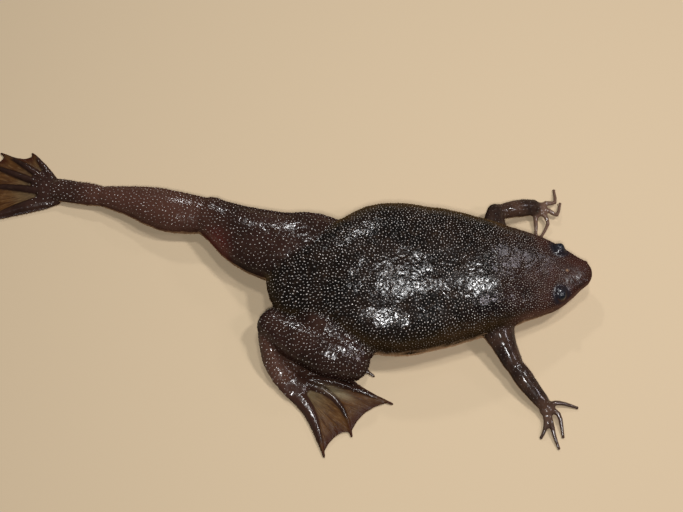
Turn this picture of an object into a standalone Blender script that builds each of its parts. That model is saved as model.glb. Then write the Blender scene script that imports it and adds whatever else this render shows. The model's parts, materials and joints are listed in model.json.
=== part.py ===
"""Carvalho's Surinam toad, a still life-size model lying on its belly.

The left hind leg is stretched out behind, the right one is folded beside the hips with its webbed
foot spread, and both arms reach out sideways. Every size below is in millimetres, in the animal's
own axes: X runs from the vent at 0 to the snout at 72, Y is the animal's left, and Z is up from
the floor. The finished model is in metres, with its origin on the floor under its middle.
"""

import math

import bmesh
import bpy
import numpy as np
from mathutils import Vector

MM = 0.001
GAP = 0.3  # the clearance that neighbouring nodes keep

# Head and trunk
SNOUT_X = 72.0
RUMP_X = -1.5
NECK_X = 56.0
SNOUT_ROUND = 1.7  # length over which the snout closes
RUMP_ROUND = 5.0
SNOUT_LEVEL = 5.9  # height at which the snout closes
RUMP_LEVEL = 7.2
BACK_POWER = 2.6  # 2 is an ellipse, more is squarer
BELLY_POWER = 2.3

# Mouth, eyes and nostrils
MOUTH_CORNER_X = 60.8
MOUTH_ANGLE = math.radians(-11)  # where the slit lies round the head, from its widest level
MOUTH_HALF_ANGLE = math.radians(4.5)
MOUTH_DEPTH = 0.55
LIP_PROUD = 0.12
EYE_CENTRE = (64.55, 5.53, 7.55)
EYE_SKEW = 0.38  # the head is turned a little, so the left eye lies this much further forward
EYE_OUT = (0.10, 0.60, 0.79)  # the way the eye looks
EYE_RADIUS = 1.25
EYE_RIM_RADIUS = 1.5
EYE_RIM_THICKNESS = 0.4
EYE_RIM_RAISED = 0.05
MOUTH_OPENING_LENGTH = 2.0  # over which the slit deepens from its corners
NOSTRIL_CENTRE = (70.7, 2.15, 7.0)
NOSTRIL_OUT = (0.45, 0.45, 0.77)
NOSTRIL_RADIUS = 0.28
NOSTRIL_FLARE = 1.3
NOSTRIL_DEPTH = 0.6
NOSTRIL_CUTTER_LENGTH = 2.0

# Rounded ends of the limbs
DOME_SHARES = (0.45, 0.78, 0.95)  # where the rings of a rounded end lie along it
ELBOW_ROUND = 2.0
WRIST_ROUND = 1.2
KNEE_ROUND = 3.0
FOLDED_KNEE_ROUND = 2.6
ANKLE_ROUND = 2.4
HEEL_ROUND = 0.6
INSTEP_ROUND = 1.2

# Fingers and toes
PALM_HALF_SIZE = (1.9, 1.8, 1.25)
FINGER_BASE = 0.72
FINGER_TIP = 0.34
TIP_LOBES = 4  # the fingertips of this species end in small lobes, like a star
TIP_LOBE_LENGTH = 0.55
TIP_LOBE_BASE = 0.255
TIP_LOBE_END = 0.12
TIP_LOBE_SPREAD = math.radians(60)
TIP_LOBE_SUNK = 0.1  # how far a lobe's foot lies inside the finger
SOLE_ROUND = 2.4
TOE_BASE = 1.05
TOE_TIP = 0.42
TOE_FLATTENED = 0.95
TOE_START_ROUND = 0.6
TOE_END_ROUND = 0.59
TOE_LEVEL = 0.76
TOE_ARCH = 0.25
TOE_TIP_DROP = 0.4
TOE_LINE_POINTS = 41
OUTER_TOE_FLESH = 0.95  # how much wider the outer toe is at its root, all of it outwards
WEB_THICKNESS = 0.55
WEB_LEVEL = 0.42  # height of the membrane's middle between two toes
WEB_REACH = 0.965  # how far out along the toes the web goes
WEB_LENGTHWISE = 8
WEB_BETWEEN = 4
INNER_FRINGE = 0.5  # width of the skin edge outside the first toe, at its root
OUTER_FRINGE = 2.7  # the same outside the last toe
FRINGE_AT_TIP = 0.1

SKIN_COLOURS = {
    "back": (0.022, 0.018, 0.017),
    "head": (0.045, 0.027, 0.020),
    "limb": (0.036, 0.024, 0.019),
    "foot": (0.075, 0.040, 0.024),
    "eye": (0.006, 0.007, 0.011),
}


def body_stations():
    """Half-width, top, bottom and widest level of head and trunk, from the vent forward."""
    return [
        # x, half width, top, bottom, widest level
        (-1.5, 7.2, 9.8, 3.2, 7.2),
        (4.0, 8.8, 11.9, 1.4, 7.0),
        (9.5, 10.7, 13.6, 0.2, 6.8),
        (15.5, 14.2, 14.9, -0.5, 6.6),
        (21.5, 17.1, 15.5, -0.9, 6.4),
        (28.0, 17.9, 15.7, -1.0, 6.3),
        (36.0, 16.7, 15.6, -1.0, 6.1),
        (43.0, 15.0, 15.1, -0.8, 6.0),
        (50.0, 12.9, 13.6, -0.2, 5.9),
        (56.0, 10.9, 11.4, 0.5, 5.9),
        (60.5, 9.4, 9.6, 1.2, 5.7),
        (64.0, 7.75, 8.5, 1.8, 5.5),
        (67.0, 5.65, 8.0, 2.6, 5.65),
        (69.5, 3.5, 7.65, 3.7, 5.95),
        (72.0, 2.1, 7.1, 4.5, 5.9),
    ]


def arm_stations(side):
    """Upper arm and forearm as (x, y, z, half width, half height), and each finger's points."""
    if side == "left":
        upper = [(50.6, 7.0, 5.8, 3.8, 3.2), (51.0, 12.6, 5.1, 2.7, 2.5), (51.8, 16.6, 4.1, 2.05, 2.0)]
        fore = [
            (51.4, 16.2, 4.1, 1.7, 1.7),
            (55.0, 17.25, 3.6, 2.0, 1.9),
            (58.2, 17.95, 2.9, 2.05, 1.7),
            (61.5, 18.35, 2.1, 1.95, 1.3),
        ]
        palm = (62.6, 18.1, 1.5)
        fingers = [
            [(62.6, 18.4, 1.5), (64.1, 19.5, 1.7), (66.4, 19.8, 1.2), (66.6, 23.3, 0.3)],
            [(62.8, 17.9, 1.5), (64.6, 17.5, 1.9), (66.5, 16.5, 1.4), (67.7, 19.8, 0.3)],
            [(62.6, 17.4, 1.5), (63.4, 16.4, 1.9), (64.2, 14.4, 1.4), (62.4, 11.5, 0.3)],
            [(61.9, 17.3, 1.5), (61.4, 15.6, 1.5), (61.4, 13.8, 1.0), (61.2, 11.7, 0.3)],
        ]
    else:
        upper = [
            (49.2, -6.5, 5.8, 4.8, 3.3),
            (49.8, -12.2, 5.1, 3.9, 2.9),
            (51.1, -15.8, 4.4, 2.75, 2.4),
            (52.75, -19.8, 3.4, 2.25, 2.1),
        ]
        fore = [
            (52.4, -19.2, 3.5, 2.1, 1.9),
            (55.1, -23.6, 2.9, 2.2, 2.0),
            (58.1, -27.7, 2.0, 1.75, 1.5),
            (59.1, -29.2, 1.7, 1.5, 1.2),
        ]
        palm = (59.6, -29.9, 1.3)
        fingers = [
            [(59.8, -29.1, 1.3), (61.6, -28.6, 1.2), (63.8, -28.8, 0.8), (66.4, -29.6, 0.3)],
            [(59.9, -29.5, 1.3), (62.0, -31.2, 1.4), (62.5, -33.5, 0.9), (62.7, -36.0, 0.3)],
            [(59.6, -30.1, 1.3), (60.3, -33.4, 1.3), (60.7, -35.8, 0.9), (61.5, -38.5, 0.3)],
            [(59.1, -30.4, 1.3), (59.2, -32.8, 1.1), (58.6, -34.8, 0.8), (57.9, -36.0, 0.3)],
        ]
    return upper, fore, palm, fingers


def leg_stations(side):
    """Thigh, shank and tarsus as (x, y, z, half width, half height)."""
    if side == "left":
        thigh = [
            (17.5, 8.0, 7.0, 5.5, 4.6),
            (10.0, 8.3, 6.8, 8.2, 6.0),
            (1.7, 8.9, 6.0, 8.5, 6.1),
            (-6.0, 12.4, 5.1, 7.3, 5.4),
            (-11.3, 16.1, 4.3, 5.5, 4.6),
            (-14.8, 18.4, 4.0, 4.6, 4.3),
        ]
        shank = [
            (-13.6, 18.1, 4.0, 4.0, 3.8),
            (-17.8, 18.7, 3.9, 4.55, 4.1),
            (-23.0, 19.7, 3.9, 5.0, 4.2),
            (-27.6, 21.3, 3.6, 4.75, 3.9),
            (-33.0, 23.3, 2.9, 3.55, 3.2),
            (-38.6, 24.7, 2.4, 2.65, 2.6),
        ]
        tarsus = [
            (-37.6, 24.5, 2.3, 2.2, 2.2),
            (-41.5, 25.4, 2.2, 2.6, 2.3),
            (-46.0, 26.4, 1.9, 2.75, 2.0),
            (-51.0, 27.6, 1.4, 2.9, 1.5),
        ]
    else:
        thigh = [
            (6.0, -2.0, 6.9, 4.6, 4.5),
            (11.0, -9.8, 6.9, 5.2, 4.7),
            (15.4, -13.6, 6.3, 4.7, 4.4),
            (18.8, -16.3, 5.4, 4.2, 4.0),
        ]
        shank = [
            (18.3, -18.7, 5.3, 4.5, 3.9),
            (11.9, -16.6, 6.5, 5.5, 4.9),
            (5.0, -13.0, 6.0, 4.8, 4.3),
            (-1.0, -8.8, 4.8, 3.4, 3.4),
        ]
        tarsus = [
            (-1.3, -8.4, 4.5, 2.6, 2.8),
            (-0.5, -13.0, 3.7, 3.05, 2.75),
            (0.6, -17.2, 2.5, 3.2, 2.0),
            (2.3, -20.3, 1.6, 3.15, 1.25),
        ]
    return thigh, shank, tarsus


def foot_plan(side):
    """The sole's two stations, each toe's points seen from above, and how far each web is drawn in."""
    if side == "left":
        sole = [(-50.4, 27.4, 1.5, 2.5, 1.2), (-53.2, 28.0, 1.3, 3.1, 1.15)]
        toes = [
            [(-51.4, 29.9), (-54.0, 33.8), (-57.0, 37.6)],
            [(-52.2, 29.3), (-57.8, 33.8), (-64.4, 38.0)],
            [(-52.6, 28.4), (-60.8, 32.2), (-70.6, 36.2)],
            [(-52.3, 27.4), (-62.4, 28.9), (-74.0, 29.6)],
            [(-51.6, 26.5), (-59.8, 23.8), (-69.0, 20.2)],
        ]
        return sole, toes, (0.14, 0.12, 0.1, 0.1)
    sole = [(1.9, -20.0, 1.4, 3.0, 1.15), (4.7, -22.9, 1.05, 3.25, 1.0)]
    toes = [
        [(4.9, -19.2), (9.1, -17.1), (13.3, -15.6)],
        [(5.2, -20.0), (10.0, -19.0), (14.6, -18.5), (18.7, -18.5), (21.7, -20.5)],
        [(5.0, -20.9), (11.2, -21.3), (16.1, -22.9), (20.8, -25.1), (25.4, -27.1)],
        [(4.4, -21.6), (9.2, -22.9), (12.6, -25.3), (15.2, -29.3), (16.3, -33.9)],
        [(3.8, -22.4), (6.7, -26.0), (8.4, -30.1), (9.4, -34.2), (10.1, -38.2)],
    ]
    return sole, toes, (0.2, 0.4, 0.08, 0.08)


def smooth_rows(rows, samples):
    """Rows read from a Catmull-Rom curve through the given rows, as many as samples."""
    rows = np.array(rows, float)
    padded = np.vstack([2 * rows[0] - rows[1], rows, 2 * rows[-1] - rows[-2]])
    where = np.linspace(0, len(rows) - 1, samples)
    first = np.minimum(where.astype(int), len(rows) - 2)
    t = (where - first)[:, None]
    p0, p1, p2, p3 = (padded[first + k] for k in range(4))
    return 0.5 * (
        2 * p1 + (p2 - p0) * t + (2 * p0 - 5 * p1 + 4 * p2 - p3) * t**2 + (3 * p1 - p0 - 3 * p2 + p3) * t**3
    )


def sizes_at(rows, x):
    """The other columns of the rows at each x, on one smooth curve through them."""
    fine = smooth_rows(rows, 40 * len(rows))
    return np.stack([np.interp(x, fine[:, 0], fine[:, k]) for k in range(1, fine.shape[1])], axis=-1)


def mesh_object(name, points, faces, material):
    """One closed mesh from points in millimetres. Its normals are turned outwards."""
    mesh = bpy.data.meshes.new(name)
    mesh.from_pydata([tuple(p) for p in np.array(points) * MM], [], faces)
    obj = bpy.data.objects.new(name, mesh)
    bpy.context.scene.collection.objects.link(obj)
    shape = bmesh.new()
    shape.from_mesh(mesh)
    bmesh.ops.recalc_face_normals(shape, faces=shape.faces)
    shape.to_mesh(mesh)
    shape.free()
    if material:
        mesh.materials.append(material)
    return obj


def loft(name, rings, material, start_point=None, end_point=None):
    """A skin over rings of equal length, closed at each end by a fan to a point or by one flat face."""
    around = len(rings[0])
    points = [tuple(p) for ring in rings for p in ring]
    faces = []
    for i in range(len(rings) - 1):
        for j in range(around):
            k = (j + 1) % around
            faces.append((i * around + j, i * around + k, (i + 1) * around + k, (i + 1) * around + j))
    ends = ((0, start_point), ((len(rings) - 1) * around, end_point))
    for first, point in ends:
        if point is None:
            faces.append(tuple(first + j for j in range(around)))
            continue
        points.append(tuple(point))
        apex = len(points) - 1
        faces += [(first + j, first + (j + 1) % around, apex) for j in range(around)]
    return mesh_object(name, points, faces, material)


def tube(name, stations, material, lengthwise=10, around=16, start_round=0.0, end_round=0.0):
    """A limb segment: elliptical rings along a smooth line, rounded off past its ends, flat on the floor."""
    rows = smooth_rows(stations, lengthwise)
    centres = rows[:, :3]
    along = np.gradient(centres, axis=0)
    along /= np.linalg.norm(along, axis=1)[:, None]
    ring_rows = []
    for share in reversed(DOME_SHARES if start_round else ()):
        ring_rows.append((centres[0] - along[0] * start_round * share, along[0], rows[0, 3:5], share))
    ring_rows += [(centre, way, size, 0.0) for centre, way, size in zip(centres, along, rows[:, 3:5])]
    for share in DOME_SHARES if end_round else ():
        ring_rows.append((centres[-1] + along[-1] * end_round * share, along[-1], rows[-1, 3:5], share))
    angles = np.linspace(0, 2 * math.pi, around, endpoint=False) + math.pi / around
    rings = []
    for centre, way, size, share in ring_rows:
        sideways = np.cross((0, 0, 1), way)
        sideways /= np.linalg.norm(sideways)
        upwards = np.cross(way, sideways)
        shrink = math.sqrt(1 - share * share)
        ring = (
            centre
            + np.outer(np.cos(angles), sideways) * size[0] * shrink
            + np.outer(np.sin(angles), upwards) * size[1] * shrink
        )
        ring[:, 2] = np.maximum(ring[:, 2], 0.0)
        rings.append(ring)
    start = centres[0] - along[0] * start_round if start_round else None
    end = centres[-1] + along[-1] * end_round if end_round else None
    return loft(name, rings, material, start, end)


def body_rings(xs, angles, with_mouth):
    """Cross-sections of trunk or head, with the slit of the mouth drawn in ahead of its corners."""
    sizes = sizes_at(body_stations(), xs)
    rings = []
    for x, (half_width, top, bottom, level) in zip(xs, sizes):
        to_snout = np.clip((x - (SNOUT_X - SNOUT_ROUND)) / SNOUT_ROUND, 0, 1)
        to_rump = np.clip((RUMP_X + RUMP_ROUND - x) / RUMP_ROUND, 0, 1)
        close = math.sqrt(max(0.0, 1 - max(to_snout, to_rump) ** 2))
        end_level = SNOUT_LEVEL if to_snout > 0 else RUMP_LEVEL
        level = end_level + (level - end_level) * close
        cos, sin = np.cos(angles), np.sin(angles)
        power = np.where(sin > 0, BACK_POWER, BELLY_POWER)
        height = np.where(sin > 0, top - level, level - bottom) * close
        across = np.sign(cos) * np.abs(cos) ** (2 / power) * half_width * close
        upward = np.sign(sin) * np.abs(sin) ** (2 / power) * height
        ring = np.stack([np.full_like(across, x), across, level + upward], axis=-1)
        if with_mouth:
            carve_mouth(ring, angles, x, close)
        ring[:, 2] = np.maximum(ring[:, 2], 0.0)
        rings.append(ring)
    return rings


def carve_mouth(ring, angles, x, close):
    """Sinks the ring's points on the mouth line and lifts the upper lip just above it."""
    opening = np.clip((x - MOUTH_CORNER_X) / MOUTH_OPENING_LENGTH, 0, 1) * close**0.5
    folded = np.where(np.cos(angles) >= 0, angles, math.pi - angles)
    folded = (folded + math.pi) % (2 * math.pi) - math.pi
    slit = np.abs(folded - MOUTH_ANGLE) < MOUTH_HALF_ANGLE * 0.5
    lip = np.abs(folded - MOUTH_ANGLE - 1.6 * MOUTH_HALF_ANGLE) < MOUTH_HALF_ANGLE
    change = (LIP_PROUD * lip - MOUTH_DEPTH * slit) * opening
    ring[:, 1] += np.sign(ring[:, 1]) * np.minimum(change, np.abs(ring[:, 1]))


def ring_angles(around):
    """Even angles round the body, with close ones added where the mouth is."""
    even = [2 * math.pi * k / around for k in range(around)]
    close = [MOUTH_ANGLE + k * MOUTH_HALF_ANGLE for k in (-1, 0, 1, 2)]
    both_sides = [a for c in close for a in (c % (2 * math.pi), (math.pi - c) % (2 * math.pi))]
    spaced = [e for e in even if min(abs(e - b) for b in both_sides) > MOUTH_HALF_ANGLE * 0.9]
    return np.array(sorted(spaced + both_sides))


def trunk(material):
    ends = [RUMP_X + RUMP_ROUND * (1 - math.cos(a)) for a in np.linspace(0.25, math.pi / 2, 5)]
    straight = np.linspace(RUMP_X + RUMP_ROUND, NECK_X - GAP / 2, 21)[1:]
    xs = np.concatenate([ends, straight])
    angles = np.linspace(0, 2 * math.pi, 40, endpoint=False)
    return loft("torso", body_rings(xs, angles, False), material, (RUMP_X, 0, RUMP_LEVEL))


def head_shell(material):
    straight = np.linspace(NECK_X + GAP / 2, SNOUT_X - SNOUT_ROUND, 13)[:-1]
    ends = [SNOUT_X - SNOUT_ROUND * (1 - math.sin(a)) for a in np.linspace(0, 1.4, 5)]
    xs = np.concatenate([straight, ends])
    angles = ring_angles(34)
    return loft("head", body_rings(xs, angles, True), material, None, (SNOUT_X, 0, SNOUT_LEVEL))


def ball(name, centre, radius, material, segments=16, rings=10):
    mesh = bpy.data.meshes.new(name)
    shape = bmesh.new()
    bmesh.ops.create_uvsphere(shape, u_segments=segments, v_segments=rings, radius=radius * MM)
    bmesh.ops.translate(shape, verts=shape.verts, vec=Vector(centre) * MM)
    shape.to_mesh(mesh)
    shape.free()
    obj = bpy.data.objects.new(name, mesh)
    bpy.context.scene.collection.objects.link(obj)
    if material:
        mesh.materials.append(material)
    return obj


def axis_frame(way):
    """Two unit vectors square to the given direction."""
    way = Vector(way).normalized()
    first = way.orthogonal().normalized()
    return way, first, way.cross(first)


def rim(name, centre, way, radius, thickness, segments=16, sides=6):
    """A ring of skin round an eye."""
    way, first, second = axis_frame(way)
    points, faces = [], []
    for i in range(segments):
        a = 2 * math.pi * i / segments
        spoke = first * math.cos(a) + second * math.sin(a)
        for j in range(sides):
            b = 2 * math.pi * j / sides
            points.append(
                Vector(centre) + spoke * (radius + thickness * math.cos(b)) + way * thickness * math.sin(b)
            )
    for i in range(segments):
        for j in range(sides):
            here, there = i * sides, ((i + 1) % segments) * sides
            k = (j + 1) % sides
            faces.append((here + j, there + j, there + k, here + k))
    return mesh_object(name, points, faces, None)


def peg(name, foot, way, length, foot_radius, tip_radius, segments=8):
    """A short straight peg, for a fingertip lobe or to sink a nostril."""
    way, first, second = axis_frame(way)
    rings = []
    for distance, radius in ((0, foot_radius), (length, tip_radius)):
        rings.append(
            [
                Vector(foot)
                + way * distance
                + (first * math.cos(a) + second * math.sin(a)) * radius
                for a in (2 * math.pi * k / segments for k in range(segments))
            ]
        )
    return loft(name, rings, None)


def mirrored(point, side):
    """The point or direction on the left or right half of the body."""
    return (point[0], point[1] if side == "left" else -point[1], point[2])


def bake(obj):
    """Makes what the object's modifiers show its own mesh."""
    graph = bpy.context.evaluated_depsgraph_get()
    made = bpy.data.meshes.new_from_object(obj.evaluated_get(graph))
    obj.modifiers.clear()
    obj.data = made


def drop(*objects):
    for obj in objects:
        bpy.data.objects.remove(obj)


def keep_largest(obj):
    """Leaves only the largest closed surface, with points that coincide made one."""
    shape = bmesh.new()
    shape.from_mesh(obj.data)
    bmesh.ops.remove_doubles(shape, verts=shape.verts, dist=0.002 * MM)
    left = set(shape.verts)
    groups = []
    while left:
        stack, group = [left.pop()], []
        while stack:
            vert = stack.pop()
            group.append(vert)
            for edge in vert.link_edges:
                other = edge.other_vert(vert)
                if other in left:
                    left.discard(other)
                    stack.append(other)
        groups.append(group)
    groups.sort(key=len)
    for group in groups[:-1]:
        bmesh.ops.delete(shape, geom=group, context="VERTS")
    shape.to_mesh(obj.data)
    shape.free()


def fuse(obj, pieces):
    """Joins closed pieces to the object with one Boolean union."""
    group = bpy.data.collections.new(obj.name + "_pieces")
    bpy.context.scene.collection.children.link(group)
    for piece in pieces:
        group.objects.link(piece)
    join = obj.modifiers.new("join", "BOOLEAN")
    join.operation = "UNION"
    join.operand_type = "COLLECTION"
    join.collection = group
    join.solver = "EXACT"
    bake(obj)
    drop(*pieces)
    bpy.data.collections.remove(group)
    keep_largest(obj)
    return obj


def cut(obj, cutters):
    """Takes each cutter's space away from the object."""
    for cutter in cutters:
        step = obj.modifiers.new("cut", "BOOLEAN")
        step.operation = "DIFFERENCE"
        step.object = cutter
        step.solver = "EXACT"
        bake(obj)
    keep_largest(obj)
    return obj


def grown(obj):
    """A helper copy that stands out from the object by the gap on every side."""
    mesh = obj.data.copy()
    normals = [vert.normal.copy() for vert in mesh.vertices]
    for vert, normal in zip(mesh.vertices, normals):
        vert.co += normal * GAP * MM
    helper = bpy.data.objects.new(obj.name + "_clearance", mesh)
    bpy.context.scene.collection.objects.link(helper)
    helper.hide_render = True
    helper.display_type = "WIRE"
    return helper


def skin_material(name):
    colour = SKIN_COLOURS[name]
    material = bpy.data.materials.new(name)
    material.use_nodes = True
    shader = material.node_tree.nodes["Principled BSDF"]
    shader.inputs["Base Color"].default_value = (*colour, 1.0)
    shader.inputs["Metallic"].default_value = 0.0
    shader.inputs["Roughness"].default_value = 0.08 if name == "eye" else 0.34
    material.diffuse_color = (*colour, 1.0)
    return material


def make_head(materials):
    """Head with rimmed eyes in their sockets, nostrils and the mouth's slit."""
    head = head_shell(materials["head"])
    rims, holes = [], []
    for side in ("left", "right"):
        centre = Vector(mirrored(EYE_CENTRE, side))
        centre.x += EYE_SKEW if side == "left" else -EYE_SKEW
        out = Vector(mirrored(EYE_OUT, side)).normalized()
        seat = centre + out * EYE_RIM_RAISED
        rims.append(rim("rim_" + side, seat, out, EYE_RIM_RADIUS, EYE_RIM_THICKNESS))
        holes.append(ball("socket_" + side, centre, EYE_RADIUS + GAP, None))
        nostril, way = mirrored(NOSTRIL_CENTRE, side), Vector(mirrored(NOSTRIL_OUT, side)).normalized()
        start = Vector(nostril) - way * NOSTRIL_DEPTH
        radii = (NOSTRIL_RADIUS, NOSTRIL_RADIUS * NOSTRIL_FLARE)
        holes.append(peg("nostril_" + side, start, way, NOSTRIL_CUTTER_LENGTH, *radii))
        ball("eye_" + side, centre, EYE_RADIUS, materials["eye"])
    fuse(head, rims)
    cut(head, holes)
    drop(*holes)
    return head


def make_hand(side, palm, fingers, material):
    """Palm and four slender unwebbed fingers, each ending in a star of small lobes."""
    hand = ball("hand_" + side, palm, 1.0, material, 12, 8)
    for vert in hand.data.vertices:
        offset = vert.co / MM - Vector(palm)
        spot = Vector(palm) + Vector([offset[k] * PALM_HALF_SIZE[k] for k in range(3)])
        spot.z = max(0.0, spot.z)
        vert.co = spot * MM
    pieces = []
    for number, points in enumerate(fingers):
        stations = [
            (*point, radius, radius)
            for point, radius in zip(points, np.linspace(FINGER_BASE, FINGER_TIP, len(points)))
        ]
        name = f"finger_{side}_{number}"
        pieces.append(tube(name, stations, None, 7, 7, end_round=FINGER_TIP))
        tip, before = Vector(points[-1]), Vector(points[-2])
        heading = (tip - before).normalized()
        heading.z = 0.0
        across = heading.cross(Vector((0, 0, 1))).normalized()
        for lobe in range(TIP_LOBES):
            turn = (lobe / (TIP_LOBES - 1) * 2 - 1) * TIP_LOBE_SPREAD
            way = heading.normalized() * math.cos(turn) + across * math.sin(turn)
            foot = tip - way * TIP_LOBE_SUNK
            radii = (TIP_LOBE_BASE, TIP_LOBE_END)
            pieces.append(peg(f"{name}_lobe_{lobe}", foot, way, TIP_LOBE_LENGTH, *radii, 5))
    return fuse(hand, pieces)


def toe_line(points, count):
    """Points along one toe, with the knuckles a little off the floor."""
    flat = smooth_rows(points, count)
    share = np.linspace(0, 1, count)
    level = TOE_LEVEL + TOE_ARCH * np.sin(share * math.pi) - TOE_TIP_DROP * share**3
    return np.column_stack([flat, level])


def web_columns(toes, notches):
    """Lines of points running out along the membrane, from the inner fringe to the outer one."""
    share = np.linspace(0.0, WEB_REACH, WEB_LENGTHWISE)
    knots = np.linspace(0, 1, TOE_LINE_POINTS)
    lines = [toe_line(toe, TOE_LINE_POINTS) for toe in toes]
    columns = []
    for gap, notch in enumerate(notches):
        for step in range(WEB_BETWEEN + (gap == len(notches) - 1)):
            t = step / WEB_BETWEEN
            middle = 4 * t * (1 - t)
            reach = share * (1 - notch * middle)
            sides = [
                np.stack([np.interp(reach, knots, line[:, k]) for k in range(3)], axis=-1)
                for line in (lines[gap], lines[gap + 1])
            ]
            column = sides[0] * (1 - t) + sides[1] * t
            column[:, 2] += (WEB_LEVEL - column[:, 2]) * middle
            columns.append(column)
    inner, outer = columns[0].copy(), columns[-1].copy()
    for edge, inward, fringe in ((inner, columns[1], INNER_FRINGE), (outer, columns[-2], OUTER_FRINGE)):
        away = edge[:, :2] - inward[:, :2]
        away /= np.linalg.norm(away, axis=1)[:, None]
        edge[:, :2] += away * (fringe * (1 - share**2) + FRINGE_AT_TIP)[:, None]
        edge[:, 2] = WEB_LEVEL
    return np.array([inner, *columns, outer])


def web(name, toes, notches):
    """The thin membrane between the toes, its free edge drawn in between each two toes."""
    columns = web_columns(toes, notches)
    wide, long = columns.shape[:2]
    lift = np.array((0, 0, WEB_THICKNESS / 2))
    points = [tuple(p + lift) for column in columns for p in column]
    points += [tuple(p - lift) for column in columns for p in column]
    under = wide * long
    faces = []
    for i in range(wide - 1):
        for j in range(long - 1):
            a, b, c, d = i * long + j, (i + 1) * long + j, (i + 1) * long + j + 1, i * long + j + 1
            faces += [(a, b, c), (a, c, d)]
            faces += [(under + a, under + c, under + b), (under + a, under + d, under + c)]
    border = [i * long for i in range(wide)]
    border += [(wide - 1) * long + j for j in range(1, long)]
    border += [i * long + long - 1 for i in range(wide - 2, -1, -1)]
    border += [j for j in range(long - 2, 0, -1)]
    for a, b in zip(border, border[1:] + border[:1]):
        faces += [(a, under + a, under + b), (a, under + b, b)]
    return mesh_object(name, points, faces, None)


def toe_stations(toes, number):
    """One toe's centre, half width and half height along it. The outer toe is fleshier outwards."""
    line = toe_line(toes[number], 5)
    radius = np.linspace(TOE_BASE, TOE_TIP, len(line))
    flesh = np.zeros(len(line))
    if number == len(toes) - 1:
        flesh = OUTER_TOE_FLESH * np.linspace(1, 0, len(line)) ** 1.5
        outward = line[:, :2] - toe_line(toes[number - 1], 5)[:, :2]
        outward /= np.linalg.norm(outward, axis=1)[:, None]
        line[:, :2] += outward * flesh[:, None]
    return np.column_stack([line, radius + flesh, radius * TOE_FLATTENED])


def make_foot(side, material):
    """Sole, five long toes and the full web between them, in one piece."""
    sole, toes, notches = foot_plan(side)
    foot = tube("foot_" + side, sole, material, 4, 14, end_round=SOLE_ROUND)
    pieces = [web("web_" + side, toes, notches)]
    for number in range(len(toes)):
        name, stations = f"toe_{side}_{number}", toe_stations(toes, number)
        pieces.append(tube(name, stations, None, 7, 8, TOE_START_ROUND, TOE_END_ROUND))
    return fuse(foot, pieces)


def make_arm(side, torso_room, materials):
    upper_stations, fore_stations, palm, fingers = arm_stations(side)
    upper = tube("upper_arm_" + side, upper_stations, materials["limb"], 9, 16, end_round=ELBOW_ROUND)
    upper_room = grown(upper)
    fore = tube("forearm_" + side, fore_stations, materials["limb"], 10, 16, end_round=WRIST_ROUND)
    fore_room = grown(fore)
    hand = make_hand(side, palm, fingers, materials["limb"])
    cut(upper, [torso_room])
    cut(fore, [upper_room])
    cut(hand, [fore_room])
    drop(upper_room, fore_room)


def make_leg(side, torso_room, materials):
    thigh_stations, shank_stations, tarsus_stations = leg_stations(side)
    limb = materials["limb"]
    start_round = FOLDED_KNEE_ROUND if side == "right" else 0.0
    thigh = tube("thigh_" + side, thigh_stations, limb, 13, 22, end_round=KNEE_ROUND)
    shank = tube("shank_" + side, shank_stations, limb, 13, 20, start_round, ANKLE_ROUND)
    tarsus = tube("tarsus_" + side, tarsus_stations, limb, 9, 16, HEEL_ROUND, INSTEP_ROUND)
    foot = make_foot(side, materials["foot"])
    thigh_room, shank_room, tarsus_room = grown(thigh), grown(shank), grown(tarsus)
    cut(thigh, [torso_room])
    cut(shank, [torso_room, thigh_room])
    cut(tarsus, [torso_room, thigh_room, shank_room])
    cut(foot, [tarsus_room, shank_room, thigh_room])
    drop(thigh_room, shank_room, tarsus_room)


def settle_on_origin():
    """Moves every node so that the origin is on the floor under the middle of the whole animal."""
    shown = [obj for obj in bpy.data.objects if obj.type == "MESH"]
    points = np.array([vert.co for obj in shown for vert in obj.data.vertices])
    low, high = points.min(axis=0), points.max(axis=0)
    shift = -Vector(((low[0] + high[0]) / 2, (low[1] + high[1]) / 2, low[2]))
    for obj in shown:
        for vert in obj.data.vertices:
            vert.co += shift
        obj.data.shade_smooth()
        obj.data.set_sharp_from_angle(angle=math.radians(40))
        obj.data.update()


def main():
    for obj in list(bpy.data.objects):
        bpy.data.objects.remove(obj)
    materials = {name: skin_material(name) for name in SKIN_COLOURS}
    torso = trunk(materials["back"])
    torso_room = grown(torso)
    make_head(materials)
    for side in ("left", "right"):
        make_arm(side, torso_room, materials)
        make_leg(side, torso_room, materials)
    drop(torso_room)
    settle_on_origin()


main()
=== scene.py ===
import json
import math

import bpy
import numpy as np
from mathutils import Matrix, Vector
from mathutils.bvhtree import BVHTree

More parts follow.
